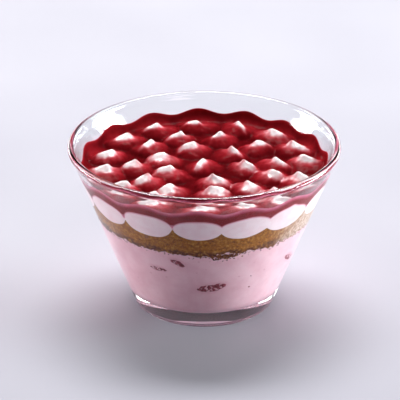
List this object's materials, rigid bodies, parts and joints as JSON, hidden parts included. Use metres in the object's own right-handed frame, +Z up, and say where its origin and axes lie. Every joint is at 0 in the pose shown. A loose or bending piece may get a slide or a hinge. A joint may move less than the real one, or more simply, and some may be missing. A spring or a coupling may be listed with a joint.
{
  "type": "cheesecake cup",
  "caption": "Conical glass cup of layered cheesecake: strawberry cream, biscuit crumb and piped cream dollops under glossy berry sauce.",
  "frame": {"origin": "centre of the glass's foot, on the table", "axes": "+Z up, out of the cup's mouth; -Y towards the side that the picture shows"},
  "size_m": [0.1, 0.1, 0.0635],
  "materials": {
    "glass": "clear, fire-polished",
    "strawberry_cream": "smooth set cream",
    "biscuit": "pressed crumb",
    "white_cream": "smooth piped cream",
    "berry_sauce": "wet and glossy",
    "fruit": "moist fruit pulp"
  },
  "bodies": {
    "root": {"glass_cup": "glass", "strawberry_cream": "strawberry_cream", "biscuit_crumb": "biscuit", "piped_cream": "white_cream", "berry_sauce": "berry_sauce", "fruit_piece_1": "fruit", "fruit_piece_2": "fruit", "fruit_piece_3": "fruit", "fruit_piece_4": "fruit", "fruit_piece_5": "fruit", "fruit_piece_6": "fruit", "fruit_piece_7": "fruit", "fruit_piece_8": "fruit"}
  },
  "joints": []
}
